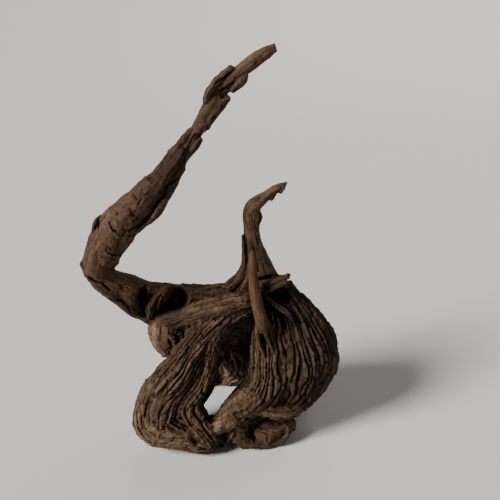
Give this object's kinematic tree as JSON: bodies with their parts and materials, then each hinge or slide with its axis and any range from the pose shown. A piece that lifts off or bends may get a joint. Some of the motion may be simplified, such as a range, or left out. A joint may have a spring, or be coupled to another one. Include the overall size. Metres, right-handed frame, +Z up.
{
  "type": "bogwood branch",
  "caption": "Weathered root stump standing on its gnarled legs, with a long crooked branch and a short curved horn.",
  "frame": {"origin": "middle of the object's own box, on the surface it stands on", "axes": "+Z up, +Y away from the front view, +X to the right of the front view"},
  "size_m": [0.1022, 0.0636, 0.1569],
  "materials": {
    "dark_wood": "deeply furrowed, dry and matt",
    "brown_wood": "cracked bark plates and dry grain, matt",
    "tan_root": "fine straight grain, dry and matt"
  },
  "bodies": {
    "root": {"crown": "dark_wood", "right_lobe": "dark_wood", "left_leg": "dark_wood", "rear_leg": "dark_wood", "long_branch": "brown_wood", "horn": "brown_wood", "front_root": "tan_root", "broken_twig": "dark_wood"}
  },
  "joints": []
}
